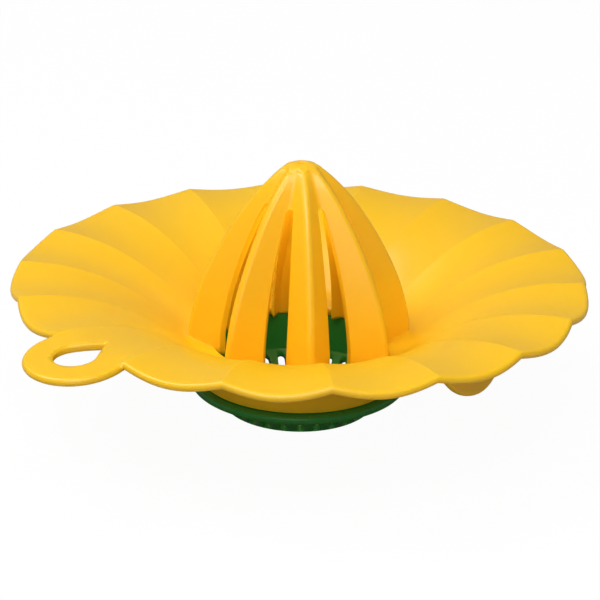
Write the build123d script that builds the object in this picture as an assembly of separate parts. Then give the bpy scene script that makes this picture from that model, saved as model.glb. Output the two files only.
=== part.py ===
"""Flower-shaped citrus press: a scalloped juice dish with a slotted reamer, and a strainer that
plugs into the collar under it.

Millimetres. +Z is up, the origin is the middle of the strainer's flat bottom, and the hanging loop
points along -X. Heights are built upwards: strainer, collar, dish, rim, reamer.
"""
import os
from math import acos, atan2, cos, hypot, radians, sin, sqrt, tan

from build123d import *

# ---- strainer: a straight sleeve, a flange and a tapered basket, all one moulding
strainer_wall = 1.6
basket_bottom_radius = 22.0
basket_top_radius = 27.4
basket_height = 6.7
basket_corner_radius = 1.5
flange_radius = 32.0
flange_thickness = 2.5
flange_edge_radius = 1.0
sleeve_height = 8.4
sleeve_top_radius = 27.55
sleeve_mouth_radius = 25.9
sleeve_inner_radius = 25.2
sleeve_lip_chamfer = 0.5
side_slot_count = 30
side_slot_width = 2.4
side_slot_bottom = 0.2
side_slot_top = 3.8
side_slot_reach = 2.4
slot_start = 9.0
floor_slot_count = 15
floor_slot_width = 2.4
floor_slot_outer_radius = 18.0
floor_slot_inner_radius = 10.0

# ---- collar: the socket under the dish that grips the sleeve
sleeve_clearance = 0.10
flange_gap = 0.3
sleeve_end_gap = 0.2
collar_wall = 2.25
collar_draft = 2.0
drain_radius = 25.6
shoulder_thickness = 2.2

# ---- dish: eighteen petals round a trumpet-shaped bowl
petal_count = 18
crest_radius = 82.5
petal_bulge = 1.1
petal_sag = 2.0
sag_start_radius = 38.0
dish_thickness = 2.3
foot_radius = 34.0
floor_slope = 0.286
bowl_depth = 18.6
bowl_power = 2.28

# ---- reamer: eight hollow ribs joined at a small round cap
rib_count = 8
rib_start = 5.0
rib_wall = 2.2
rib_tip_radius = 1.5
rib_tip_share = 0.15
reamer_height = 52.1
cap_radius = 4.9
cap_rise = 1.1
cap_thickness = 2.6
gate_dimple_radius = 1.2
gate_dimple_depth = 0.4
slot_foot_width = 6.2
slot_middle_width = 4.7
slot_top_width = 2.1
slot_height = 41.3
slot_bend_share = 0.62
# crest and valley radii of the star-shaped section, at these shares of the reamer's height
rib_levels = [
    # share, crest radius, valley radius
    (-0.10, 33.5, 22.9),
    (0.00, 32.8, 22.3),
    (0.153, 31.3, 21.0),
    (0.387, 27.3, 18.3),
    (0.612, 21.1, 14.7),
    (0.856, 11.9, 8.9),
    (0.97, 5.5, 4.7),
]

# ---- hanging loop: one petal carried on past the rim, drooping a little, with a teardrop hole
loop_root_inset = 2.5
loop_start_inset = 0.5
loop_length = 17.2
loop_half_width = 15.3
loop_droop = 6.0
loop_middle_drop = 1.7
loop_edge_radius = 1.0
loop_petal_sag = 0.4
loop_hole_offset = 2.9
loop_hole_radius = 5.7
loop_hole_point_inset = 8.3

# ---- two rounded finger lugs under the dish
lug_inset = 15.2
lug_tilt = 18.0
lug_half_width = 12.9
lug_depth = 17.1
lug_cover = 2.75
lug_angles = [90.0, 270.0]

# ---- heights and fits that follow from the sizes above
flange_bottom = basket_height
flange_top = flange_bottom + flange_thickness
sleeve_top = flange_top + sleeve_height
collar_bottom = flange_top + flange_gap
shoulder_bottom = sleeve_top + sleeve_end_gap
drain_edge = shoulder_bottom + shoulder_thickness
foot_height = drain_edge + floor_slope * (foot_radius - drain_radius)
rim_height = foot_height + bowl_depth
apex_height = foot_height + reamer_height
collar_bore = sleeve_top_radius + sleeve_clearance
collar_radius = collar_bore + collar_wall
petal_half_angle = 180 / petal_count
loop_root_radius = crest_radius - loop_root_inset
loop_start_radius = crest_radius - loop_start_inset
loop_hole_centre = crest_radius + loop_hole_offset
loop_hole_point = crest_radius - loop_hole_point_inset
lug_radius = crest_radius - lug_inset
overlap = 1.0
floor_overlap = 0.6
buried = 0.75 * dish_thickness
buried_reach = 4.0
tolerance = 0.001
profile_steps = 8
petal_shares = [-1, -0.5, 0, 0.5, 1]


def meridian_plane(angle):
    """Plane through the Z axis: its x runs outwards at this angle and its y runs up."""
    return Plane(origin=(0, 0, 0), x_dir=(cos(radians(angle)), sin(radians(angle)), 0),
                 z_dir=(sin(radians(angle)), -cos(radians(angle)), 0))


def turned(points):
    """A closed solid of revolution about Z from (radius, height) points."""
    face = make_face(Plane.XZ * Polyline(*points, close=True))
    return revolve(face, Axis.Z)


def bowl_height(radius):
    """Height of the dish's top surface along the ridge between two petals."""
    share = (crest_radius - radius) / (crest_radius - foot_radius)
    return rim_height - bowl_depth * max(share, 0) ** bowl_power


def petal_section(share, sag):
    """Closed section of a petal; share runs from -1 to 1 across it, 0 being its middle."""
    swell = cos(radians(90 * share))
    inner_radius = collar_bore + collar_wall / 2
    outer_radius = crest_radius + petal_bulge * swell
    reach = outer_radius - dish_thickness / 2 - inner_radius
    top = []
    for step in range(profile_steps + 1):
        radius = inner_radius + reach * step / profile_steps
        fade = max(radius - sag_start_radius, 0) / (crest_radius - sag_start_radius)
        top.append((radius, bowl_height(radius) - sag * swell * fade))
    bottom = []
    for radius, height in top:
        slope = bowl_power * bowl_depth / (crest_radius - foot_radius)
        slope *= (max(crest_radius - radius, 0) / (crest_radius - foot_radius)) ** (bowl_power - 1)
        length = sqrt(1 + slope * slope)
        bottom.append((radius + dish_thickness * slope / length, height - dish_thickness / length))
    rim_tip = (outer_radius, (top[-1][1] + bottom[-1][1]) / 2)
    upper = Spline(*top)
    rim = ThreePointArc(top[-1], rim_tip, bottom[-1])
    lower = Spline(*bottom[::-1])
    end = Line(bottom[0], top[0])
    outline = Wire([upper.edge(), rim.edge(), lower.edge(), end.edge()])
    return meridian_plane(share * petal_half_angle) * outline


def petal(sag):
    """One petal: a trough that fades out towards the reamer, with a fully rounded rim."""
    return Solid.make_loft([petal_section(share, sag) for share in petal_shares])


def dish():
    """All the petals, joined along their ridges; the one that carries the loop is nearly flat."""
    blade = petal(petal_sag)
    petals = [Rot(Z=180) * petal(loop_petal_sag)]
    for index in range(1, petal_count):
        petals.append(Rot(Z=180 + 2 * petal_half_angle * index) * blade)
    return petals[0].fuse(*petals[1:])


def collar():
    """The socket for the strainer, its inner shoulder and the sloping floor round the drain."""
    inner = foot_radius + floor_overlap
    top_radius = collar_radius + tan(radians(collar_draft)) * (drain_edge - collar_bottom)
    return turned([
        (drain_radius, shoulder_bottom),
        (drain_radius, drain_edge),
        (inner, drain_edge + floor_slope * (inner - drain_radius)),
        (top_radius, shoulder_bottom - overlap),
        (collar_radius, collar_bottom),
        (collar_bore, collar_bottom),
        (collar_bore, shoulder_bottom),
    ])


def star_section(height, crest, valley, tip):
    """Closed star-shaped wire with one rounded tip for each rib."""
    half = radians(180 / rib_count)
    centre = crest - tip
    foot = (valley * cos(half), valley * sin(half))
    reach = hypot(foot[0] - centre, foot[1])
    bearing = atan2(foot[1], foot[0] - centre) - acos(tip / reach)
    touch = (centre + tip * cos(bearing), tip * sin(bearing))
    edges = []
    for index in range(rib_count):
        place = Plane.XY.offset(height) * Rot(Z=rib_start + 360 / rib_count * index)
        edges.append(place * Line((foot[0], -foot[1]), (touch[0], -touch[1])).edge())
        edges.append(place * ThreePointArc((touch[0], -touch[1]), (crest, 0), touch).edge())
        edges.append(place * Line(touch, foot).edge())
    return Wire(edges)


def star_loft(inset):
    """The reamer's outer form, or with an inset the hollow inside its wall."""
    sections = []
    for share, crest, valley in rib_levels:
        height = foot_height + share * reamer_height - inset / 2
        tip = min(rib_tip_radius, rib_tip_share * (crest - inset))
        sections.append(star_section(height, crest - inset, valley - inset, tip))
    return Solid.make_loft(sections)


def slot_cutter():
    """A slot's outline, wide at the foot and rounded at the top, pushed out from the axis."""
    foot = shoulder_bottom - overlap
    top = foot_height + slot_height
    bend = foot + slot_bend_share * (top - foot)
    shoulder = top - slot_top_width / 2
    right = Spline((slot_foot_width / 2, foot), (slot_middle_width / 2, bend), (slot_top_width / 2, shoulder))
    left = Spline((-slot_top_width / 2, shoulder), (-slot_middle_width / 2, bend), (-slot_foot_width / 2, foot))
    round_end = ThreePointArc((slot_top_width / 2, shoulder), (0, top), (-slot_top_width / 2, shoulder))
    base = Line((-slot_foot_width / 2, foot), (slot_foot_width / 2, foot))
    outline = Wire([right.edge(), round_end.edge(), left.edge(), base.edge()])
    return extrude(Face(Plane.YZ * outline), amount=foot_radius + 2 * overlap)


def under_bowl():
    """What the ribs may not reach: everything below the middle of the dish's thickness."""
    reach = crest_radius
    inner = collar_radius - overlap
    points = [(inner, shoulder_bottom - 2 * overlap)]
    for radius in (collar_radius, foot_radius, foot_radius + buried_reach):
        points.append((radius, bowl_height(radius) - buried))
    points.append((reach, points[-1][1]))
    points.append((reach, shoulder_bottom - 2 * overlap))
    return turned(points)


def cap():
    """The small domed button that closes the top of the reamer, with its moulding dimple."""
    dome_radius = (cap_radius ** 2 + cap_rise ** 2) / (2 * cap_rise)
    button = Pos(Z=apex_height) * Cylinder(
        cap_radius, cap_thickness, align=(Align.CENTER, Align.CENTER, Align.MAX))
    dome = Pos(Z=apex_height - dome_radius) * Sphere(dome_radius)
    dimple = Pos(Z=apex_height - gate_dimple_depth) * Cylinder(
        gate_dimple_radius, cap_thickness, align=(Align.CENTER, Align.CENTER, Align.MIN))
    return (button & dome) - dimple


def reamer():
    """Eight ribs with slots between them, cut off inside the dish's floor."""
    core = Pos(Z=shoulder_bottom) * Cylinder(drain_radius, reamer_height * 2)
    body = star_loft(0) - (star_loft(rib_wall) & core)
    cutter = slot_cutter()
    for index in range(rib_count):
        body = body - Rot(Z=rib_start + 360 / rib_count * (index + 0.5)) * cutter
    floor = Pos(Z=shoulder_bottom) * Cylinder(
        crest_radius, reamer_height, align=(Align.CENTER, Align.CENTER, Align.MAX))
    return body - floor - under_bowl()


def hanging_loop():
    """The plate that carries one petal past the rim, round-ended and round-edged."""
    end = Ellipse(loop_length, loop_half_width)
    end &= Rectangle(loop_length, 2 * loop_half_width, align=(Align.MAX, Align.CENTER))
    root = loop_start_radius - loop_root_radius
    root_half_width = loop_root_radius * tan(radians(petal_half_angle))
    outline = end + make_face(Polyline((0, loop_half_width), (root, root_half_width),
                                       (root, -root_half_width), (0, -loop_half_width), close=True))
    plate = extrude(outline, amount=dish_thickness / 2, both=True)
    plate = fillet(plate.edges().filter_by(is_level), loop_edge_radius)
    return Pos(-loop_start_radius, 0, rim_height - loop_middle_drop) * Rot(Y=-loop_droop) * plate


def is_level(edge):
    """True for the edges of a plate's two faces."""
    return abs((edge @ 0).Z - (edge @ 1).Z) < dish_thickness / 2


def loop_hole():
    """A teardrop cutter: a round end with two straight sides that meet at a point."""
    bearing = acos(loop_hole_radius / (loop_hole_centre - loop_hole_point))
    touch = (loop_hole_radius * cos(bearing), loop_hole_radius * sin(bearing))
    mirrored = (touch[0], -touch[1])
    end = ThreePointArc(mirrored, (-loop_hole_radius, 0), touch)
    sides = Polyline(touch, (loop_hole_centre - loop_hole_point, 0), mirrored)
    outline = Face(Wire([end.edge()] + list(sides.edges())))
    return Pos(-loop_hole_centre, 0, rim_height) * extrude(outline, amount=bowl_depth / 2, both=True)


def lug():
    """A rounded tongue that hangs from the underside of the dish, leaning outwards."""
    tilt = Pos(lug_radius, 0, rim_height - lug_depth) * Rot(Y=-lug_tilt)
    tongue = Pos(0, lug_half_width) * Circle(lug_half_width)
    tongue += Pos(0, lug_half_width) * Rectangle(2 * lug_half_width, lug_half_width,
                                                 align=(Align.CENTER, Align.MIN))
    plate = tilt * extrude(Plane.YZ * tongue, amount=dish_thickness / 2, both=True)
    top = bowl_height(lug_radius) - lug_cover
    room = Pos(Z=top) * Box(2 * crest_radius, crest_radius, rim_height,
                            align=(Align.CENTER, Align.CENTER, Align.MAX))
    return plate & room


def citrus_press():
    """Dish, collar, reamer, loop and lugs, one moulding."""
    body = dish().fuse(collar(), hanging_loop(), reamer(), cap())
    for angle in lug_angles:
        body = body.fuse(Rot(Z=angle) * lug())
    return body - loop_hole()


def side_bar():
    """Cutter for a round-ended slot straight through the basket's slanting side."""
    slant = atan2(basket_height, basket_top_radius - basket_bottom_radius)
    middle = (side_slot_bottom + side_slot_top) / 2
    on_side = Plane(origin=(basket_bottom_radius + middle / tan(slant), 0, middle),
                    x_dir=(cos(slant), 0, sin(slant)), z_dir=(sin(slant), 0, -cos(slant)))
    length = (side_slot_top - side_slot_bottom) / sin(slant)
    return extrude(on_side * SlotOverall(length, side_slot_width), amount=side_slot_reach, both=True)


def floor_bar():
    """Cutter for a round-ended radial slot through the basket's floor."""
    middle = (floor_slot_inner_radius + floor_slot_outer_radius) / 2
    slot = Pos(middle, 0) * SlotOverall(floor_slot_outer_radius - floor_slot_inner_radius, floor_slot_width)
    return extrude(slot, amount=2 * strainer_wall, both=True)


def ring(bar, count):
    """Copies of a slot's cutter, evenly round the axis."""
    return [Rot(Z=slot_start + 360 / count * index) * bar for index in range(count)]


def strainer_basket():
    """Sleeve, flange and slotted basket, one moulding."""
    slant = hypot(basket_top_radius - basket_bottom_radius, basket_height)
    inset = strainer_wall * slant / basket_height
    taper = (basket_top_radius - basket_bottom_radius) / basket_height
    floor_radius = basket_bottom_radius + taper * strainer_wall - inset
    throat_height = strainer_wall + (sleeve_inner_radius - floor_radius) / taper
    body = turned([
        (0, 0),
        (basket_bottom_radius, 0),
        (basket_top_radius, flange_bottom),
        (flange_radius, flange_bottom),
        (flange_radius, flange_top),
        (sleeve_top_radius, flange_top),
        (sleeve_top_radius, sleeve_top),
        (sleeve_mouth_radius, sleeve_top),
        (sleeve_inner_radius, throat_height),
        (floor_radius, strainer_wall),
        (0, strainer_wall),
    ])
    rounded = {
        (basket_bottom_radius, 0): basket_corner_radius,
        (flange_radius, flange_bottom): flange_edge_radius,
        (flange_radius, flange_top): flange_edge_radius,
    }
    for (radius, height), size in rounded.items():
        rings = [edge for edge in body.edges() if is_ring(edge, radius, height)]
        body = fillet(rings, size)
    lip = [edge for edge in body.edges() if is_ring(edge, sleeve_top_radius, sleeve_top)
           or is_ring(edge, sleeve_mouth_radius, sleeve_top)]
    body = chamfer(lip, sleeve_lip_chamfer)
    return body.cut(*ring(side_bar(), side_slot_count), *ring(floor_bar(), floor_slot_count))


def is_ring(edge, radius, height):
    """True for the round edge at this radius and height."""
    if edge.geom_type != GeomType.CIRCLE:
        return False
    return abs(edge.radius - radius) < tolerance and abs(edge.arc_center.Z - height) < tolerance


NODES = {
    "citrus_press": citrus_press,
    "strainer_basket": strainer_basket,
}

if __name__ == "__main__":
    os.makedirs("parts", exist_ok=True)
    for name, build in NODES.items():
        export_step(build(), f"parts/{name}.step")
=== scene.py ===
"""A flower-shaped citrus juicer: a yellow scalloped dish with a slotted reamer and a hanging
loop, and a green strainer plugged in below. Its sizes are in millimetres; those of the floor
and the lights are in metres."""

from math import acos, atan2, cos, hypot, pi, radians, sin, sqrt, tan

import bmesh
import bpy
import numpy as np
from mathutils import Matrix, Vector

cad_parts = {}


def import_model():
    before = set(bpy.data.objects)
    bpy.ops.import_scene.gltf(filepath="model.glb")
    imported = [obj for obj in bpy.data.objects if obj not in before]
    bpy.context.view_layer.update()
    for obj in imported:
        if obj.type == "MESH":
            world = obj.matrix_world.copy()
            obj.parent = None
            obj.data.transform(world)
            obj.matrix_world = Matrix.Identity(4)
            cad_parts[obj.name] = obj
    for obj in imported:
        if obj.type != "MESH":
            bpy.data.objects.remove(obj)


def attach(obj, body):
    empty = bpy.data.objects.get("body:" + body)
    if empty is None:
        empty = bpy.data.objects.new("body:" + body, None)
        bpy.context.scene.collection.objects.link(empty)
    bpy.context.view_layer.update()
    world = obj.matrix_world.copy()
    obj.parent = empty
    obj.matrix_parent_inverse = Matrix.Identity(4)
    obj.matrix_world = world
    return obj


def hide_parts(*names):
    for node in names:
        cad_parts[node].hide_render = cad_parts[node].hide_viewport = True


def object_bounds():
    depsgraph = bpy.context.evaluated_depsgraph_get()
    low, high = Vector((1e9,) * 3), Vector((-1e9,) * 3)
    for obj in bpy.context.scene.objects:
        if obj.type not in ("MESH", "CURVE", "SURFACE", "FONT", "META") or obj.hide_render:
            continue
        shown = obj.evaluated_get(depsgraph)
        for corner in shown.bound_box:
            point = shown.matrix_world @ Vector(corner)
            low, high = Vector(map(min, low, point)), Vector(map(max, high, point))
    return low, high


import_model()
cad_box = [list(corner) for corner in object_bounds()]
MM = 0.001
weld_distance = 0.004
speck_length = 0.002

# ---- dish
petal_count = 18
petal_half_angle = 180 / petal_count
crest_radius = 82.5
petal_bulge = 1.1
petal_sag = 2.0
sag_start_radius = 38.0
wall = 2.3
foot_radius = 34.0
floor_slope = 0.286
bowl_depth = 18.6
bowl_power = 2.28
drain_radius = 25.6
drain_edge = 20.0
drain_edge_radius = 0.5
floor_blend = 0.9
foot_height = drain_edge + floor_slope * (foot_radius - drain_radius)
rim_height = foot_height + bowl_depth
petal_columns = 24
dish_rows = 44
floor_rows = 14
rim_steps = 8
drain_edge_steps = 4

# ---- collar
shoulder_bottom = 17.8
collar_bottom = 9.5
collar_bore = 27.65
collar_outer = 29.9
collar_edge_radius = 0.45
collar_draft = tan(radians(2.0))
under_start = collar_outer + 2.0
under_full = under_start + 4
# the underside lies square below the top as far as the first of these radii, and straight
# below it from the second
under_rim_start = crest_radius - 6
under_rim_end = crest_radius - 2
slope_probe = 0.1
# where the collar flares into the dish: drafted length, added radius and height
collar_root = [(7, 0.9, 17.2), (6, 0.15, 16.0), (5, 0.0, 14.8)]

# ---- hanging loop
loop_tip_radius = 99.1
loop_columns = 44
loop_sag = 0.4
loop_top_drop = 0.55
loop_droop = tan(radians(6.0))
loop_start_inset = 0.5
loop_start_radius = crest_radius - loop_start_inset
loop_blend = 0.25
loop_edge_share = 0.93
loop_edge_fade = 2.0
loop_hole_offset = 2.9
loop_hole_centre = crest_radius + loop_hole_offset
loop_hole_radius = 5.7
loop_hole_point_inset = 8.3
loop_hole_point = crest_radius - loop_hole_point_inset
loop_hole_tip_inset = 1.0
loop_hole_tip_rounding = 0.25
loop_hole_rounding = 0.9

# ---- finger lugs
lug_inset = 15.2
lug_radius = crest_radius - lug_inset
lug_rounding = 0.8
lug_tilt = 18.0
lug_half_width = 12.9
lug_depth = 17.1
lug_cover = 2.75
lug_angles = [90.0, 270.0]

# ---- reamer
rib_count = 8
rib_start = 5.0
rib_wall = 2.2
rib_tip_radius = 1.5
rib_tip_share = 0.15
groove_radius = 1.4
groove_most_share = 0.6
foot_fillet = 0.35
# past the drain, where the foot's fillet starts and where it is full
fillet_start_past = 0.3
fillet_full_past = 2.5
# how far the fillet's edge and the wall's lowest row sink into the dish
fillet_sink = 0.08
foot_sink = 0.9
reamer_height = 52.1
cap_radius = 4.9
cap_rise = 1.1
dimple_radius = 1.2
dimple_depth = 0.4
dimple_edge = 0.25
dome_spacing = 1.5
dome_round_share = 0.35
dome_climb = 1.6
dome_blend = 0.35
slot_foot_width = 6.7
slot_middle_width = 5.1
slot_top_width = 2.1
slot_height = 41.3
slot_bend_share = 0.62
slot_edge_radius = 0.4
slot_least_half = 0.25
slot_most_share = 0.9
# shares of the reamer's height, with the star's crest and valley radii there
rib_shares = [-0.10, 0.0, 0.153, 0.387, 0.612, 0.856, 0.97]
crest_radii = [33.5, 32.8, 31.3, 27.3, 21.1, 11.9, 5.5]
valley_radii = [22.9, 22.3, 21.0, 18.3, 14.7, 8.9, 4.7]


# ------------------------------------------------------------------ small helpers
def ramp(low, high, value):
    """0 below low, 1 above high, smooth between."""
    share = min(max((value - low) / (high - low), 0.0), 1.0)
    return share * share * (3 - 2 * share)


def soft_max(a, b, blend):
    return 0.5 * (a + b + sqrt((a - b) ** 2 + blend * blend))


def soft_min(a, b, blend):
    return -soft_max(-a, -b, blend)


def mesh_object(name, points, faces, smooth=True):
    """A new object from points in millimetres."""
    mesh = bpy.data.meshes.new(name)
    mesh.from_pydata([Vector(point) * MM for point in points], [], faces)
    mesh.validate()
    made = bpy.data.objects.new(name, mesh)
    bpy.context.scene.collection.objects.link(made)
    cleaned = bmesh.new()
    cleaned.from_mesh(mesh)
    bmesh.ops.remove_doubles(cleaned, verts=cleaned.verts, dist=weld_distance * MM)
    bmesh.ops.dissolve_degenerate(cleaned, edges=cleaned.edges, dist=speck_length * MM)
    face_outwards(cleaned)
    cleaned.to_mesh(mesh)
    cleaned.free()
    for polygon in mesh.polygons:
        polygon.use_smooth = smooth
    return made


def ring_faces(rows, columns, closed_rows=True):
    """Quads of a grid that is closed round its columns, and round its rows too if closed_rows."""
    faces = []
    for row in range(rows if closed_rows else rows - 1):
        above = (row + 1) % rows
        for column in range(columns):
            beside = (column + 1) % columns
            faces.append((row * columns + column, row * columns + beside,
                          above * columns + beside, above * columns + column))
    return faces


def face_outwards(skin):
    """Turns a closed mesh's faces outwards."""
    bmesh.ops.recalc_face_normals(skin, faces=skin.faces)
    if skin.calc_volume(signed=True) < 0:
        bmesh.ops.reverse_faces(skin, faces=skin.faces)


def combine(base, other, operation):
    """Boolean of two closed objects; the second one is used up."""
    modifier = base.modifiers.new("join", "BOOLEAN")
    modifier.operation = operation
    modifier.solver = "MANIFOLD"
    modifier.object = other
    bpy.context.view_layer.update()
    evaluated = base.evaluated_get(bpy.context.evaluated_depsgraph_get())
    mesh = bpy.data.meshes.new_from_object(evaluated)
    base.modifiers.clear()
    old = base.data
    base.data = mesh
    bpy.data.meshes.remove(old)
    bpy.data.objects.remove(other)
    return base


def turned(name, profile, columns):
    """A solid from (radius, height) points that start and end on the axis, turned about Z."""
    points = []
    for radius, height in profile:
        for column in range(columns):
            angle = 2 * pi * column / columns
            points.append((radius * cos(angle), radius * sin(angle), height))
    return mesh_object(name, points, ring_faces(len(profile), columns, closed_rows=False))


def rounded_profile(corners, steps=5):
    """(radius, height) points round a closed profile of (radius, height, rounding) corners."""
    profile = []
    count = len(corners)
    for index, (radius, height, rounding) in enumerate(corners):
        here = Vector((radius, height))
        if rounding == 0:
            profile.append((radius, height))
            continue
        before = (Vector(corners[index - 1][:2]) - here).normalized()
        after = (Vector(corners[(index + 1) % count][:2]) - here).normalized()
        half = before.angle(after) / 2
        start = here + before * rounding / tan(half)
        end = here + after * rounding / tan(half)
        centre = here + (before + after).normalized() * rounding / sin(half)
        for step in range(steps + 1):
            chord = start.lerp(end, step / steps) - centre
            point = centre + chord.normalized() * rounding
            profile.append((point.x, point.y))
    return profile


# ------------------------------------------------------------------ dish
def bowl_height(radius):
    """The dish's top surface along the ridge between two petals."""
    share = (crest_radius - radius) / (crest_radius - foot_radius)
    return rim_height - bowl_depth * max(share, 0) ** bowl_power


def petal_top(radius, share, is_loop):
    """The dish's top surface, share -1 to 1 across a petal."""
    swell = cos(pi / 2 * share)
    fade = max(radius - sag_start_radius, 0) / (crest_radius - sag_start_radius)
    floor = drain_edge + floor_slope * (radius - drain_radius)
    height = soft_max(bowl_height(radius), floor, floor_blend)
    height -= (loop_sag if is_loop else petal_sag) * swell * min(fade, 1.0)
    if is_loop:
        plate = rim_height - loop_top_drop - loop_droop * (radius - loop_start_radius)
        outside = 1 - ramp(crest_radius - loop_edge_fade, crest_radius, radius)
        inward = 1 - ramp(loop_edge_share, 1.0, abs(share)) * outside
        height += (soft_min(height, plate, loop_blend) - height) * inward
    return height


def rim_outline(turn, is_loop):
    """(radius, angle from the petal's middle, share, edge direction) of the rim.

    The turn runs from -1 at one end of the petal to 1 at the other."""
    if is_loop:
        bearing = radians(90 * turn)
        reach = loop_tip_radius - crest_radius
        radius = crest_radius + reach * cos(bearing)
        angle = petal_half_angle * sin(bearing)
        width = radius * radians(petal_half_angle)
        slope = atan2(reach * sin(bearing), width * cos(bearing))
        return radius, angle, sin(bearing), slope
    share = turn * (1.5 - 0.5 * turn * turn)
    return crest_radius + petal_bulge * cos(pi / 2 * share), petal_half_angle * share, share, 0.0


def dish_column(turn, middle, is_loop):
    """One closed column of the dish, from the drain over the rim and back under to the collar."""
    rim_radius, angle, share, slope = rim_outline(turn, is_loop)
    inner = radians(middle + angle)
    outward = inner + slope
    half = wall / 2
    seat = Vector((rim_radius * cos(inner) - half * cos(outward),
                   rim_radius * sin(inner) - half * sin(outward)))
    seat_radius = seat.length
    seat_angle = atan2(seat.y, seat.x)
    rows = upper_rows(seat_radius, share, is_loop) + under_rows(seat_radius, share, is_loop)
    points = []
    for radius, height, reach in rows + collar_rows():
        blend = ramp(foot_radius, crest_radius, radius)
        bearing = inner + (remainder(seat_angle - inner)) * blend
        points.append((radius * cos(bearing) + reach * cos(outward),
                       radius * sin(bearing) + reach * sin(outward), height))
    return points


def upper_rows(seat_radius, share, is_loop):
    """(radius, height, reach past the seat) over the floor and the bowl and round the rim."""
    rows = []
    for row in range(floor_rows):
        radius = drain_radius + drain_edge_radius + (foot_radius - drain_radius) * row / floor_rows
        rows.append((radius, petal_top(radius, share, is_loop), 0.0))
    first = drain_radius + drain_edge_radius + (foot_radius - drain_radius)
    for row in range(dish_rows + 1):
        radius = first + (seat_radius - first) * row / dish_rows
        rows.append((radius, petal_top(radius, share, is_loop), 0.0))
    half = wall / 2
    top = petal_top(seat_radius, share, is_loop)
    for step in range(1, rim_steps):
        bend = pi * step / rim_steps
        rows.append((seat_radius, top - half + half * cos(bend), half * sin(bend)))
    return rows


def under_rows(seat_radius, share, is_loop):
    """The underside, one wall below the top and square to it, except near the rim."""
    rows = []
    for row in range(dish_rows + 1):
        radius = seat_radius + (under_start - seat_radius) * row / dish_rows
        outer = petal_top(radius + slope_probe, share, is_loop)
        lean = (outer - petal_top(radius - slope_probe, share, is_loop)) / (2 * slope_probe)
        lean *= 1 - ramp(under_rim_start, under_rim_end, radius)
        length = sqrt(1 + lean * lean)
        lean_in = wall * lean / length * ramp(under_start, under_full, radius)
        rows.append((radius + lean_in, petal_top(radius, share, is_loop) - wall * length, 0.0))
    return rows


def collar_rows():
    """The collar outside and in, its shoulder, and the drain up to its rounded edge."""
    collar = [(collar_outer + collar_draft * drafted + added, height, 0)
              for drafted, added, height in collar_root]
    collar += [
        (collar_outer, collar_bottom, collar_edge_radius),
        (collar_bore, collar_bottom, collar_edge_radius / 2),
        (collar_bore, shoulder_bottom, 0),
        (drain_radius, shoulder_bottom, 0),
        (drain_radius, drain_edge - drain_edge_radius, 0),
    ]
    rows = [(radius, height, 0.0) for radius, height in rounded_profile(collar)]
    for step in range(1, drain_edge_steps):
        bend = pi / 2 * step / drain_edge_steps
        rows.append((drain_radius + drain_edge_radius * (1 - cos(bend)),
                     drain_edge - drain_edge_radius * (1 - sin(bend)), 0.0))
    return rows


def remainder(angle):
    """The same angle between -pi and pi."""
    return (angle + pi) % (2 * pi) - pi


def dish():
    """All petals round the bowl, with the collar below, as one closed ring of columns."""
    columns = []
    for petal in range(petal_count):
        middle = 180 + 2 * petal_half_angle * petal
        is_loop = petal == 0
        steps = loop_columns if is_loop else petal_columns
        last = steps + 1 if is_loop else steps
        for step in range(last):
            columns.append(dish_column(2 * step / steps - 1, middle, is_loop))
    points = [column[row] for row in range(len(columns[0])) for column in columns]
    return mesh_object("dish", points, ring_faces(len(columns[0]), len(columns)))


# ------------------------------------------------------------------ reamer
crest_curve = np.polyfit(rib_shares, crest_radii, 5)
valley_curve = np.polyfit(rib_shares, valley_radii, 5)
sector = radians(180 / rib_count)
slot_steps = 4
flank_steps = 14
tip_steps = 8
low_rows = 9
dome_rows = 22
slot_top = foot_height + slot_height
slot_foot = shoulder_bottom - 1
foot_rows_top = foot_height + 2
row_spacing = 1.0
# rows near the slots' ends: lowest and highest, from the slots' top, and how many
arch_rows = [(-3, -1.4, 4), (-1.2, 0, 7)]
above_slots_start = slot_top + 0.5
above_slots_end = foot_height + 0.965 * reamer_height
above_slots_rows = 14


def slot_width(height):
    """Width of the slot at a height; it narrows upwards and ends in a round arch."""
    shoulder = slot_top - slot_top_width / 2
    bend = slot_foot + slot_bend_share * (slot_top - slot_foot)
    widths = [slot_foot_width, slot_middle_width, slot_top_width]
    curve = np.polyfit([slot_foot, bend, shoulder], widths, 2)
    if height <= shoulder:
        return float(np.polyval(curve, height))
    rise = (height - shoulder) / (slot_top_width / 2)
    return slot_top_width * sqrt(max(1 - rise * rise, 0))


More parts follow.
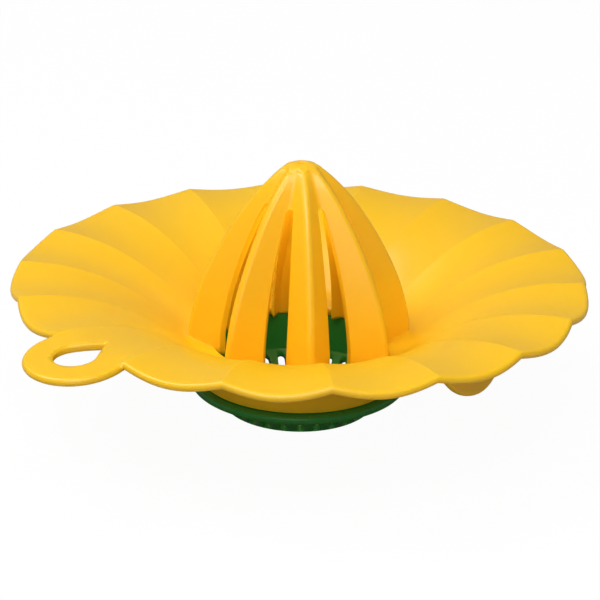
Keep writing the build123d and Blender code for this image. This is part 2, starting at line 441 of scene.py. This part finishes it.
def rib_section(height, inset):
    """Points of one rib at a height, from the groove before it to the groove after it."""
    share = (height - foot_height) / reamer_height
    crest = float(np.polyval(crest_curve, share)) - inset
    valley = float(np.polyval(valley_curve, share)) - inset
    tip = min(rib_tip_radius, rib_tip_share * crest)
    centre = crest - tip
    groove = Vector((cos(sector), sin(sector)))
    foot = groove * valley
    reach = hypot(foot.x - centre, foot.y)
    bearing = atan2(foot.y, foot.x - centre) - acos(min(tip / reach, 1))
    touch = Vector((centre + tip * cos(bearing), tip * sin(bearing)))
    flank = touch - foot
    opening = groove.angle(flank)
    rounding = min(groove_radius + inset, groove_most_share * flank.length * tan(opening))
    tangent = rounding / tan(opening)
    middle = foot + groove * rounding / sin(opening)
    side = touch.x * sin(sector) - touch.y * cos(sector)
    edge = min(max(slot_width(height) / 2, slot_least_half) / side, slot_most_share)
    shares = [edge * step / slot_steps for step in range(slot_steps)]
    shares += [edge + (1 - edge) * step / flank_steps for step in range(flank_steps)]
    half = []
    for part in shares:
        along = part * flank.length
        if along < tangent:
            turn = atan2(-groove.y, -groove.x) + (pi / 2 - opening) * along / tangent
            half.append(middle + Vector((cos(turn), sin(turn))) * rounding)
        else:
            half.append(foot + flank * part)
    for step in range(tip_steps):
        turn = bearing * (1 - step / tip_steps)
        half.append(Vector((centre + tip * cos(turn), tip * sin(turn))))
    before = [Vector((point.x, -point.y)) for point in half]
    return before + [Vector((crest, 0))] + half[:0:-1]


def reamer_heights():
    """Row heights above the foot, closer together where the slots end."""
    heights = list(np.arange(foot_rows_top, slot_top + arch_rows[0][0], row_spacing))
    for low, high, count in arch_rows:
        heights += list(np.linspace(slot_top + low, slot_top + high, count))
    return heights + list(np.linspace(above_slots_start, above_slots_end, above_slots_rows))


def star_ring(height, inset):
    """The whole star at a height, rib after rib."""
    ring = []
    for rib in range(rib_count):
        turn = Matrix.Rotation(radians(rib_start) + 2 * sector * rib, 2)
        ring += [turn @ point for point in rib_section(height, inset)]
    return ring


def foot_ring(row, ring):
    """A row of the outer wall near the floor, where it flares into a small fillet."""
    points = []
    for index, point in enumerate(ring):
        along = ring[(index + 1) % len(ring)] - ring[index - 1]
        away = Vector((along.y, -along.x)).normalized()
        on_floor = ramp(drain_radius + fillet_start_past, drain_radius + fillet_full_past,
                        point.length)
        bend = pi / 2 * (1 - max(row - 1, 0) / (low_rows - 2))
        flared = point + away * foot_fillet * (1 - cos(bend)) * on_floor
        seat = petal_top(flared.length, 1, False) + foot_fillet * (1 - sin(bend)) - fillet_sink
        if row == 0:
            seat -= foot_sink
        bottom = max(shoulder_bottom, petal_top(point.length, 1, False) - wall / 2)
        plain = bottom + (foot_rows_top - bottom) * row / low_rows
        points.append((flared.x, flared.y, plain + (seat - plain) * on_floor))
    return points


def inner_ring(ring, height):
    """A row of the hollow, kept inside the drain."""
    points = []
    for point in ring:
        if point.length > drain_radius:
            point = point.normalized() * drain_radius
        points.append((point.x, point.y, height))
    return points


def cap_height(radius):
    """Top of the cap: a low dome with its moulding dimple."""
    dome = foot_height + reamer_height - cap_rise * (radius / cap_radius) ** 2
    start, end = (1 - dimple_edge) * dimple_radius, (1 + dimple_edge) * dimple_radius
    return dome - dimple_depth * (1 - ramp(start, end, radius))


def dome_ring(row, ring, start):
    """A row of the cap: the star climbs to the dome's rim, turns round and closes on the axis."""
    share = 1 - (row / dome_rows) ** dome_spacing
    mean = sum(point.length for point in ring) / len(ring)
    points = []
    for point in ring:
        evened = ramp(0.0, dome_round_share, 1 - share)
        shrunk = point.lerp(point.normalized() * mean, evened) * share
        climb = start + dome_climb * (point.length - shrunk.length)
        height = soft_min(climb, cap_height(shrunk.length), dome_blend)
        points.append((shrunk.x, shrunk.y, height))
    return points


def closing_ring(row, ring, height):
    """A row that closes the hollow under the cap."""
    share = 1 - row / dome_rows
    return [(point.x * share, point.y * share, height) for point in ring]


def reamer():
    """Eight hollow ribs that join above their slots and end in a small domed cap."""
    heights = reamer_heights()
    first, last = heights[0], heights[-1]
    outer, inner = [], []
    for row in range(low_rows):
        outer.append(foot_ring(row, star_ring(first, 0)))
        low = shoulder_bottom + (first - shoulder_bottom) * row / low_rows
        inner.append(inner_ring(star_ring(first, rib_wall), low))
    for height in heights:
        outer.append([(point.x, point.y, height) for point in star_ring(height, 0)])
        inner.append(inner_ring(star_ring(height, rib_wall), height))
    for row in range(1, dome_rows + 1):
        outer.append(dome_ring(row, star_ring(last, 0), last))
        inner.append(closing_ring(row, star_ring(last, rib_wall), last))
    slot_rows = low_rows + sum(1 for height in heights if height < slot_top - 0.01)
    return reamer_mesh(outer, inner, slot_rows)


def reamer_mesh(outer, inner, slot_rows):
    """Skins the two walls, leaves the slots open and closes the wall round them."""
    rows, columns = len(outer), len(outer[0])
    per_rib = columns // rib_count
    points = [point for ring in outer + inner for point in ring]
    shift = rows * columns
    skin = bmesh.new()
    verts = [skin.verts.new(Vector(point) * MM) for point in points]
    for row in range(rows - 1):
        for column in range(columns):
            place = column % per_rib
            if row < slot_rows and (place < slot_steps or place >= per_rib - slot_steps):
                continue
            beside = (column + 1) % columns
            quad = (row * columns + column, row * columns + beside,
                    (row + 1) * columns + beside, (row + 1) * columns + column)
            skin.faces.new([verts[corner] for corner in quad])
            skin.faces.new([verts[shift + corner] for corner in quad[::-1]])
    skin.verts.index_update()
    slot_edges = []
    for edge in list(skin.edges):
        a, b = edge.verts
        if len(edge.link_faces) != 1 or max(a.index, b.index) >= shift:
            continue
        lower, upper = sorted(vert.index // columns for vert in edge.verts)
        if lower == rows - 1:
            continue
        c, d = verts[a.index + shift], verts[b.index + shift]
        skin.faces.new((a, b, d, c))
        if lower != upper or lower > 0:
            slot_edges += [edge, skin.edges.get((c, d))]
    bmesh.ops.recalc_face_normals(skin, faces=skin.faces)
    bmesh.ops.bevel(skin, geom=[edge for edge in slot_edges if edge], offset=slot_edge_radius * MM,
                    segments=3, profile=0.5, affect="EDGES", clamp_overlap=True)
    loose = [vert for vert in skin.verts if not vert.link_faces]
    bmesh.ops.delete(skin, geom=loose, context="VERTS")
    bmesh.ops.remove_doubles(skin, verts=skin.verts, dist=weld_distance / 2 * MM)
    bmesh.ops.dissolve_degenerate(skin, edges=skin.edges, dist=speck_length / 2 * MM)
    face_outwards(skin)
    mesh = bpy.data.meshes.new("reamer")
    skin.to_mesh(mesh)
    skin.free()
    for polygon in mesh.polygons:
        polygon.use_smooth = True
    made = bpy.data.objects.new("reamer", mesh)
    bpy.context.scene.collection.objects.link(made)
    return made


# ------------------------------------------------------------------ loop hole and lugs
# depths below the loop's top at which the punch changes its width
punch_depths = [-2.5, 0.06, 0.14, 0.28, 0.5, 0.75]
punch_lip = 0.06
punch_through = 1.01
lug_steps = 32
lug_sharp_edge = 60.0


def teardrop(grow):
    """Outline of the hole, grown outwards evenly."""
    arc_steps, side_steps, point_steps = 40, 14, 6
    bearing = acos(loop_hole_radius / (loop_hole_centre - loop_hole_point))
    radius = loop_hole_radius + grow
    outline = []
    for step in range(arc_steps + 1):
        turn = bearing + (2 * pi - 2 * bearing) * step / arc_steps
        outline.append(Vector((-loop_hole_centre + radius * cos(turn), radius * sin(turn))))
    first, last = outline[0], outline[-1]
    tip_turns = [-bearing + 2 * bearing * step / point_steps for step in range(point_steps + 1)]
    tip = Vector((-loop_hole_point - loop_hole_tip_inset, 0))
    rounding = loop_hole_tip_rounding + grow
    tips = [tip + Vector((rounding * cos(turn), rounding * sin(turn))) for turn in tip_turns]
    for step in range(1, side_steps):
        outline.append(last.lerp(tips[0], step / side_steps))
    outline += tips
    for step in range(1, side_steps):
        outline.append(tips[-1].lerp(first, step / side_steps))
    return outline


def hole_cutter():
    """A teardrop punch whose ends flare, so that the hole's edges come out rounded."""
    rounding = loop_hole_rounding
    plain = teardrop(0)
    levels = []
    for depth in punch_depths:
        rest = rounding - max(depth, punch_lip)
        levels.append((depth, rounding - sqrt(max(rounding ** 2 - rest ** 2, 0))))
    rings = [(depth, grow) for depth, grow in levels]
    rings += [(wall * punch_through - depth, grow) for depth, grow in levels[::-1]]
    points = []
    for depth, grow in rings:
        for point, base in zip(teardrop(grow), plain):
            radius = base.length
            share = atan2(-base.y, -base.x) / radians(petal_half_angle)
            points.append((point.x, point.y, petal_top(radius, share, True) - depth))
    count = len(plain)
    faces = ring_faces(len(rings), count, closed_rows=False)
    faces.append(tuple(range(count)))
    faces.append(tuple(range((len(rings) - 1) * count, len(rings) * count))[::-1])
    return mesh_object("hole_cutter", points, faces, smooth=False)


def lug(angle):
    """A rounded tongue under the dish, leaning outwards."""
    half = wall / 2
    outline = []
    for step in range(lug_steps + 1):
        turn = -pi + pi * step / lug_steps
        outline.append((lug_half_width * cos(turn), lug_half_width + lug_half_width * sin(turn)))
    top = bowl_height(lug_radius) - lug_cover
    climb = (top - rim_height + lug_depth) / cos(radians(lug_tilt))
    outline = [(lug_half_width, climb)] + outline[::-1] + [(-lug_half_width, climb)]
    place = Matrix.Rotation(radians(angle), 4, "Z")
    place = place @ Matrix.Translation((lug_radius, 0, rim_height - lug_depth))
    place = place @ Matrix.Rotation(radians(-lug_tilt), 4, "Y")
    points = [place @ Vector((side * half, across, up))
              for side in (1, -1) for across, up in outline]
    count = len(outline)
    faces = ring_faces(2, count, closed_rows=False)
    faces += [tuple(range(count))[::-1], tuple(range(count, 2 * count))]
    made = mesh_object("lug", points, faces)
    skin = bmesh.new()
    skin.from_mesh(made.data)
    edges = [edge for edge in skin.edges if edge.calc_face_angle(0) > radians(lug_sharp_edge)]
    bmesh.ops.bevel(skin, geom=edges, offset=lug_rounding * MM,
                    segments=4, profile=0.5, affect="EDGES")
    face_outwards(skin)
    skin.to_mesh(made.data)
    skin.free()
    return made


def citrus_press():
    """The yellow moulding."""
    body = dish()
    body = combine(body, reamer(), "UNION")
    for angle in lug_angles:
        body = combine(body, lug(angle), "UNION")
    body = combine(body, hole_cutter(), "DIFFERENCE")
    body.name = "press_moulding"
    return body


# ------------------------------------------------------------------ strainer
strainer_wall = 1.6
basket_bottom_radius = 22.0
basket_top_radius = 27.4
basket_height = 6.7
flange_radius = 32.0
flange_thickness = 2.5
sleeve_height = 8.4
sleeve_top_radius = 27.55
sleeve_mouth_radius = 25.9
sleeve_inner_radius = 25.2
slot_start = 9.0
slot_half_width = 1.2
slot_end_steps = 8
basket_rounding = 1.5
under_flange_rounding = 0.3
flange_rounding = 1.0
sleeve_rounding = 0.5
inside_rounding = 1.0
strainer_columns = 240
side_slot_count = 30
side_slot_bottom = 0.2
side_slot_top = 3.8
side_slot_reach = 2.4
floor_slot_count = 15
floor_slot_inner = 10.0
floor_slot_outer = 18.0
floor_slot_reach = 3.0


def slot_bars(name, count_round, middle, slant, length, reach):
    """Round-ended bars across a wall that climbs outwards at a slant, one for each slot."""
    outline = []
    end = length / 2 - slot_half_width
    for side in (1, -1):
        for step in range(slot_end_steps + 1):
            turn = pi * step / slot_end_steps - pi / 2
            outline.append((side * (end + slot_half_width * cos(turn)),
                            side * slot_half_width * sin(turn)))
    points, faces = [], []
    count = len(outline)
    for index in range(count_round):
        turn = Matrix.Rotation(radians(slot_start) + 2 * pi * index / count_round, 3, "Z")
        base = len(points)
        for depth in (-reach, reach):
            for along, across in outline:
                point = Vector((middle[0] + along * cos(slant) - depth * sin(slant), across,
                                middle[1] + along * sin(slant) + depth * cos(slant)))
                points.append(turn @ point)
        sides = ring_faces(2, count, closed_rows=False)
        faces += [tuple(base + corner for corner in face) for face in sides]
        faces.append(tuple(range(base, base + count))[::-1])
        faces.append(tuple(range(base + count, base + 2 * count)))
    return mesh_object(name, points, faces, smooth=False)


def strainer_basket():
    """The green moulding."""
    flange_top = basket_height + flange_thickness
    sleeve_top = flange_top + sleeve_height
    taper = (basket_top_radius - basket_bottom_radius) / basket_height
    slant = sqrt(1 + taper * taper)
    floor_radius = basket_bottom_radius + taper * strainer_wall - strainer_wall * slant
    throat = strainer_wall + (sleeve_inner_radius - floor_radius) / taper
    profile = rounded_profile([
        (0, 0, 0),
        (basket_bottom_radius, 0, basket_rounding),
        (basket_top_radius, basket_height, under_flange_rounding),
        (flange_radius, basket_height, flange_rounding),
        (flange_radius, flange_top, flange_rounding),
        (sleeve_top_radius, flange_top, 0),
        (sleeve_top_radius, sleeve_top, sleeve_rounding),
        (sleeve_mouth_radius, sleeve_top, sleeve_rounding),
        (sleeve_inner_radius, throat, inside_rounding),
        (floor_radius, strainer_wall, inside_rounding),
        (0, strainer_wall, 0),
    ], steps=7)
    body = turned("strainer_moulding", profile, strainer_columns)
    slope = atan2(basket_height, basket_top_radius - basket_bottom_radius)
    height = (side_slot_bottom + side_slot_top) / 2
    middle = (basket_bottom_radius + height / tan(slope), height)
    length = (side_slot_top - side_slot_bottom) / sin(slope)
    bars = slot_bars("side_bars", side_slot_count, middle, slope, length, side_slot_reach)
    body = combine(body, bars, "DIFFERENCE")
    middle = ((floor_slot_inner + floor_slot_outer) / 2, 0)
    length = floor_slot_outer - floor_slot_inner
    bars = slot_bars("floor_bars", floor_slot_count, middle, 0, length, floor_slot_reach)
    return combine(body, bars, "DIFFERENCE")


# ------------------------------------------------------------------ materials
flow_scale = 28.0
flow_tone = 0.5
flow_roughness = 0.08
skin_scale = 900.0
floor_grey = 0.42
floor_pale = 0.95
floor_lift = 0.965


class Value:
    """A socket of a node, with arithmetic that adds Math nodes."""

    def __init__(self, shader, socket):
        self.shader = shader
        self.socket = socket

    def maths(self, operation, other):
        return self.shader.node("ShaderNodeMath", {"operation": operation}, {0: self, 1: other})

    def __add__(self, other):
        return self.maths("ADD", other)

    def __mul__(self, other):
        return self.maths("MULTIPLY", other)

    __radd__ = __add__
    __rmul__ = __mul__


class Shader:
    """A material and the one way to add nodes to it."""

    def __init__(self, name):
        self.material = bpy.data.materials.new(name)
        self.material.use_nodes = True
        self.tree = self.material.node_tree
        self.tree.nodes.clear()

    def node(self, kind, settings=None, inputs=None, output=0):
        """A node from its settings and the values or links of its sockets; gives one output."""
        made = self.tree.nodes.new(kind)
        for key, value in (settings or {}).items():
            setattr(made, key, value)
        for key, value in (inputs or {}).items():
            if isinstance(value, Value):
                self.tree.links.new(value.socket, made.inputs[key])
            else:
                made.inputs[key].default_value = value
        return Value(self, made.outputs[output]) if made.outputs else None


def linear(red, green, blue):
    """Linear colour from 0-255 display values."""
    def one(value):
        value /= 255
        return value / 12.92 if value <= 0.04045 else ((value + 0.055) / 1.055) ** 2.4
    return (one(red), one(green), one(blue), 1.0)


def moulded_plastic(name, colour, shade, roughness, glow, glow_scale):
    """Semi-gloss moulded plastic with faint flow marks and a fine moulded skin."""
    shader = Shader(name)
    place = shader.node("ShaderNodeTexCoord", output="Object")
    flow = shader.node("ShaderNodeTexNoise", None,
                       {"Vector": place, "Scale": flow_scale, "Detail": 3.0, "Roughness": 0.45})
    skin = shader.node("ShaderNodeTexNoise", None,
                       {"Vector": place, "Scale": skin_scale, "Detail": 2.0})
    tone = shader.node("ShaderNodeMix", {"data_type": "RGBA"},
                       {"Factor": flow * flow_tone, "A": colour, "B": shade}, output="Result")
    bump = shader.node("ShaderNodeBump", None,
                       {"Strength": 0.05, "Distance": 0.0004, "Height": skin})
    surface = shader.node("ShaderNodeBsdfPrincipled", {"subsurface_method": "RANDOM_WALK"}, {
        "Base Color": tone,
        "Roughness": roughness + flow * flow_roughness,
        "Normal": bump,
        "IOR": 1.49,
        "Subsurface Weight": glow,
        "Subsurface Radius": (1.0, 0.8, 0.18),
        "Subsurface Scale": glow_scale,
    })
    shader.node("ShaderNodeOutputMaterial", None, {"Surface": surface})
    return shader.material


def floor_material():
    """A pale floor that shows nearly white with a faint shadow, and throws little light back up."""
    shader = Shader("pale_floor")
    grey = shader.node("ShaderNodeBsdfDiffuse", None, {"Color": (*[floor_grey] * 3, 1.0)})
    pale = shader.node("ShaderNodeBsdfDiffuse", None, {"Color": (*[floor_pale] * 3, 1.0)})
    lift = shader.node("ShaderNodeEmission", None, {"Color": (1, 1, 1, 1), "Strength": 1.0})
    seen = shader.node("ShaderNodeMixShader", None, {0: floor_lift, 1: pale, 2: lift})
    camera_ray = shader.node("ShaderNodeLightPath", output="Is Camera Ray")
    surface = shader.node("ShaderNodeMixShader", None, {0: camera_ray, 1: grey, 2: seen})
    shader.node("ShaderNodeOutputMaterial", None, {"Surface": surface})
    return shader.material


# ------------------------------------------------------------------ floor, light and camera
floor_size = 6.0
floor_gap = 0.0002


def floor():
    """A large round floor that the strainer stands on, also when the press is lifted off it."""
    mesh = bpy.data.meshes.new("floor")
    disc = bmesh.new()
    bmesh.ops.create_circle(disc, cap_ends=True, segments=96, radius=floor_size)
    disc.to_mesh(mesh)
    disc.free()
    made = bpy.data.objects.new("floor", mesh)
    made.location.z = cad_box[0][2] - floor_gap
    made.data.materials.append(floor_material())
    bpy.context.scene.collection.objects.link(made)
    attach(made, "strainer")


surround_strength = 0.25
light_aim_height = 0.04
# area lights: name, azimuth and elevation in degrees, distance and size in metres, watts
studio_lights = [
    ("key", -46, 60, 1.2, 0.6, 7.2),
    ("back", -150, 60, 1.2, 0.6, 7.0),
    ("fill", -52, 20, 1.3, 0.7, 2.5),
]
hollow_light_height = 0.050
hollow_light_radius = 0.006
hollow_light_power = 0.010


def area_light(name, azimuth, elevation, distance, size, power):
    """A square soft light that looks at the dish."""
    lamp = bpy.data.lights.new(name, "AREA")
    lamp.size = size
    lamp.energy = power
    made = bpy.data.objects.new(name, lamp)
    bpy.context.scene.collection.objects.link(made)
    aim = Vector((0, 0, light_aim_height))
    a, e = radians(azimuth), radians(elevation)
    made.location = aim + distance * Vector((sin(a) * cos(e), -cos(a) * cos(e), sin(e)))
    made.rotation_euler = (aim - made.location).to_track_quat("-Z", "Y").to_euler()


def hollow_light():
    """A faint light on the axis, for what the thin walls let through into the hollow."""
    lamp = bpy.data.lights.new("inner", "POINT")
    lamp.shadow_soft_size = hollow_light_radius
    lamp.energy = hollow_light_power
    made = bpy.data.objects.new("inner", lamp)
    bpy.context.scene.collection.objects.link(made)
    made.location = (0, 0, hollow_light_height)
    made.visible_camera = False
    made.visible_glossy = False


def world():
    """An even white surround, plain white where the camera sees it."""
    made = bpy.data.worlds.new("surround")
    made.use_nodes = True
    bpy.context.scene.world = made
    nodes, links = made.node_tree.nodes, made.node_tree.links
    background = nodes["Background"]
    background.inputs["Color"].default_value = (1, 1, 1, 1)
    rays = nodes.new("ShaderNodeLightPath")
    seen = nodes.new("ShaderNodeMapRange")
    seen.inputs["To Min"].default_value = surround_strength
    seen.inputs["To Max"].default_value = 1.0
    links.new(rays.outputs["Is Camera Ray"], seen.inputs["Value"])
    links.new(seen.outputs["Result"], background.inputs["Strength"])


camera_azimuth = -46.2
camera_elevation = 20.9185
camera_distance = 626.95
camera_roll = 0.0159187
focal_pixels = 2159.966
frame_pixels = 600
shift_right = 0.32971
shift_down = -28.1175


def camera():
    """Looks at the middle of the rim from the loop's side."""
    lens = bpy.data.cameras.new("camera")
    lens.sensor_width = 36
    lens.lens = focal_pixels * lens.sensor_width / frame_pixels
    lens.shift_x = -shift_right / frame_pixels
    lens.shift_y = shift_down / frame_pixels
    lens.clip_start = 0.05
    lens.clip_end = 20
    made = bpy.data.objects.new("camera", lens)
    bpy.context.scene.collection.objects.link(made)
    aim = Vector((0, 0, rim_height * MM))
    place = Matrix.Translation(aim) @ Matrix.Rotation(radians(camera_azimuth), 4, "Z")
    place = place @ Matrix.Rotation(radians(90 - camera_elevation), 4, "X")
    place = place @ Matrix.Translation((0, 0, camera_distance * MM))
    made.matrix_world = place @ Matrix.Rotation(camera_roll, 4, "Z")
    bpy.context.scene.camera = made


# ------------------------------------------------------------------ the juicer
press_plastic = moulded_plastic("press_plastic", linear(249, 195, 26), linear(247, 189, 20),
                                roughness=0.30, glow=0.40, glow_scale=0.003)
strainer_plastic = moulded_plastic("strainer_plastic", linear(44, 138, 56), linear(40, 129, 51),
                                   roughness=0.30, glow=0.10, glow_scale=0.002)

press = citrus_press()
press.data.materials.clear()
press.data.materials.append(press_plastic)
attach(press, "press")
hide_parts("citrus_press")

strainer = strainer_basket()
strainer.data.materials.clear()
strainer.data.materials.append(strainer_plastic)
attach(strainer, "strainer")
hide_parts("strainer_basket")

floor()
world()
camera()
for light in studio_lights:
    area_light(*light)
hollow_light()
bpy.context.scene.view_settings.view_transform = "Standard"

bpy.context.view_layer.update()
